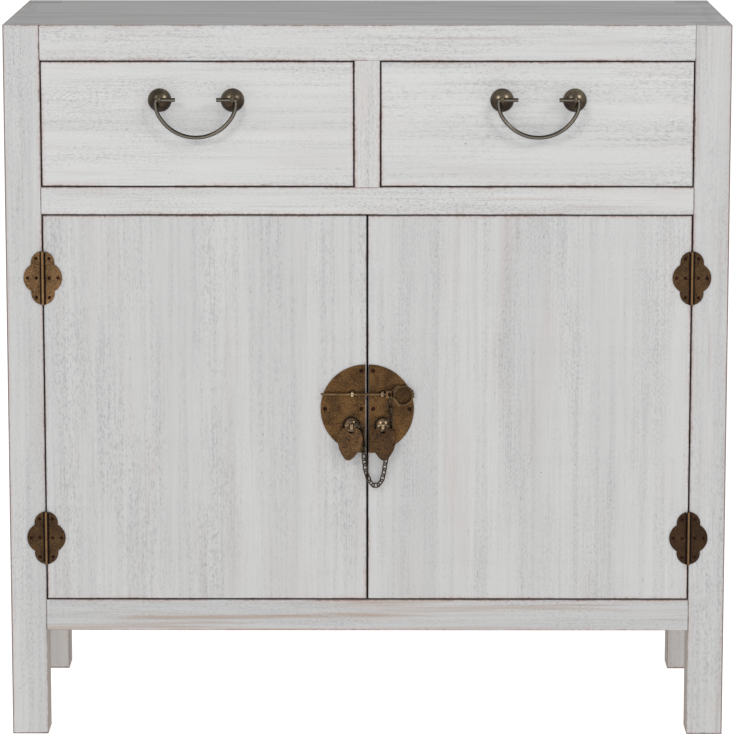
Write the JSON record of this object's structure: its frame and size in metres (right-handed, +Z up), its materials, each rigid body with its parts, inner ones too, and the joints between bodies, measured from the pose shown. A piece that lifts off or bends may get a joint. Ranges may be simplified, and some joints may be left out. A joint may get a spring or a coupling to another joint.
{
  "type": "console cabinet",
  "caption": "White-washed wooden console cabinet with bail-handled drawers over lotus-hinged doors, closed by a round brass lock plate with pin and chain.",
  "frame": {"origin": "centre of the box on the floor, the front hardware counted in", "axes": "+Z up, -Y towards the front, +X to the right as seen from the front"},
  "size_m": [0.8, 0.3669, 0.8],
  "materials": {
    "washed_wood": "white wash over open grain, rubbed through to reddish brown along the edges",
    "bare_wood": "plain sawn and sanded",
    "aged_brass": "antique brown patina, speckled, dark at the rims",
    "polished_brass": "worn bright on the domes",
    "handle_metal": "dark bronze, soft shine",
    "chain_metal": "dark bronze wire, rubbed bright",
    "nail_iron": "blackened, forged"
  },
  "bodies": {
    "cabinet": {"leg_front_left": "washed_wood", "leg_front_right": "washed_wood", "leg_back_left": "washed_wood", "leg_back_right": "washed_wood", "top_panel": "washed_wood", "top_rail_front": "washed_wood", "top_rail_back": "washed_wood", "top_rail_left": "washed_wood", "top_rail_right": "washed_wood", "bottom_rail_front": "washed_wood", "bottom_rail_back": "washed_wood", "bottom_rail_left": "washed_wood", "bottom_rail_right": "washed_wood", "middle_rail_front": "washed_wood", "middle_rail_back": "washed_wood", "drawer_divider": "washed_wood", "side_panel_left": "washed_wood", "side_panel_right": "washed_wood", "back_panel": "bare_wood", "floor_panel": "bare_wood", "shelf": "bare_wood", "drawer_runners": "bare_wood", "hinge_leaf_frame_upper_left": "aged_brass", "hinge_leaf_frame_upper_right": "aged_brass", "hinge_leaf_frame_lower_left": "aged_brass", "hinge_leaf_frame_lower_right": "aged_brass", "hinge_pins": "aged_brass", "frame_nails": "nail_iron"},
    "left_door": {"door_left": "washed_wood", "door_battens_left": "bare_wood", "hinge_leaf_door_upper_left": "aged_brass", "hinge_leaf_door_lower_left": "aged_brass", "lock_plate_left": "aged_brass", "lock_studs_left": "polished_brass", "door_nails_left": "nail_iron", "chain_end_link": "chain_metal"},
    "right_door": {"door_right": "washed_wood", "door_battens_right": "bare_wood", "hinge_leaf_door_upper_right": "aged_brass", "hinge_leaf_door_lower_right": "aged_brass", "lock_plate_right": "aged_brass", "lock_studs_right": "polished_brass", "door_nails_right": "nail_iron"},
    "left_drawer": {"drawer_front_left": "washed_wood", "drawer_sides_left": "bare_wood", "drawer_back_left": "bare_wood", "drawer_bottom_left": "bare_wood", "handle_posts_left": "handle_metal"},
    "left_bail": {"handle_bail_left": "handle_metal"},
    "left_pull": {"pull_left": "aged_brass"},
    "left_chain": {"chain_left": "chain_metal"},
    "right_drawer": {"drawer_front_right": "washed_wood", "drawer_sides_right": "bare_wood", "drawer_back_right": "bare_wood", "drawer_bottom_right": "bare_wood", "handle_posts_right": "handle_metal"},
    "right_bail": {"handle_bail_right": "handle_metal"},
    "right_pull": {"pull_right": "aged_brass"},
    "right_chain": {"chain_right": "chain_metal"},
    "lock_pin": {"lock_pin": "aged_brass"}
  },
  "joints": [
    {"name": "left_door_swing", "type": "hinge", "parent": "cabinet", "child": "left_door", "pos_m": [-0.35925, -0.169, 0.373], "axis": [0, 0, -1], "range_deg": [0, 170]},
    {"name": "left_drawer_slide", "type": "slide", "parent": "cabinet", "child": "left_drawer", "axis": [0, -1, 0], "range_m": [0, 0.22]},
    {"name": "left_bail_swing", "type": "hinge", "parent": "left_drawer", "child": "left_bail", "pos_m": [-0.1881, -0.1786, 0.7189], "axis": [-1, 0, 0], "range_deg": [-12, 180]},
    {"name": "left_pull_swing", "type": "hinge", "parent": "left_door", "child": "left_pull", "pos_m": [-0.0175, -0.1758, 0.3545], "axis": [-1, 0, 0], "range_deg": [0, 100]},
    {"name": "right_door_swing", "type": "hinge", "parent": "cabinet", "child": "right_door", "pos_m": [0.35925, -0.169, 0.373], "axis": [0, 0, 1], "range_deg": [0, 170]},
    {"name": "right_drawer_slide", "type": "slide", "parent": "cabinet", "child": "right_drawer", "axis": [0, -1, 0], "range_m": [0, 0.22]},
    {"name": "right_bail_swing", "type": "hinge", "parent": "right_drawer", "child": "right_bail", "pos_m": [0.1881, -0.1786, 0.7189], "axis": [-1, 0, 0], "range_deg": [-12, 180]},
    {"name": "right_pull_swing", "type": "hinge", "parent": "right_door", "child": "right_pull", "pos_m": [0.0175, -0.1758, 0.3545], "axis": [-1, 0, 0], "range_deg": [0, 100]},
    {"name": "lock_pin_slide", "type": "slide", "parent": "left_door", "child": "lock_pin", "axis": [1, 0, 0], "range_m": [0, 0.075]},
    {"name": "left_chain_swing", "type": "hinge", "parent": "left_door", "child": "left_chain", "pos_m": [-0.01265, -0.1758, 0.35855], "axis": [0, -1, 0], "range_deg": [0, 26.5]},
    {"name": "right_chain_swing", "type": "hinge", "parent": "lock_pin", "child": "right_chain", "pos_m": [0.02515, -0.1714, 0.3889], "axis": [0, 1, 0], "range_deg": [0, 28.5]}
  ],
  "couplings": [
    {"joint": "left_chain_swing", "follows": "lock_pin_slide", "rad_per_m": 6},
    {"joint": "right_chain_swing", "follows": "lock_pin_slide", "rad_per_m": 6.52}
  ]
}
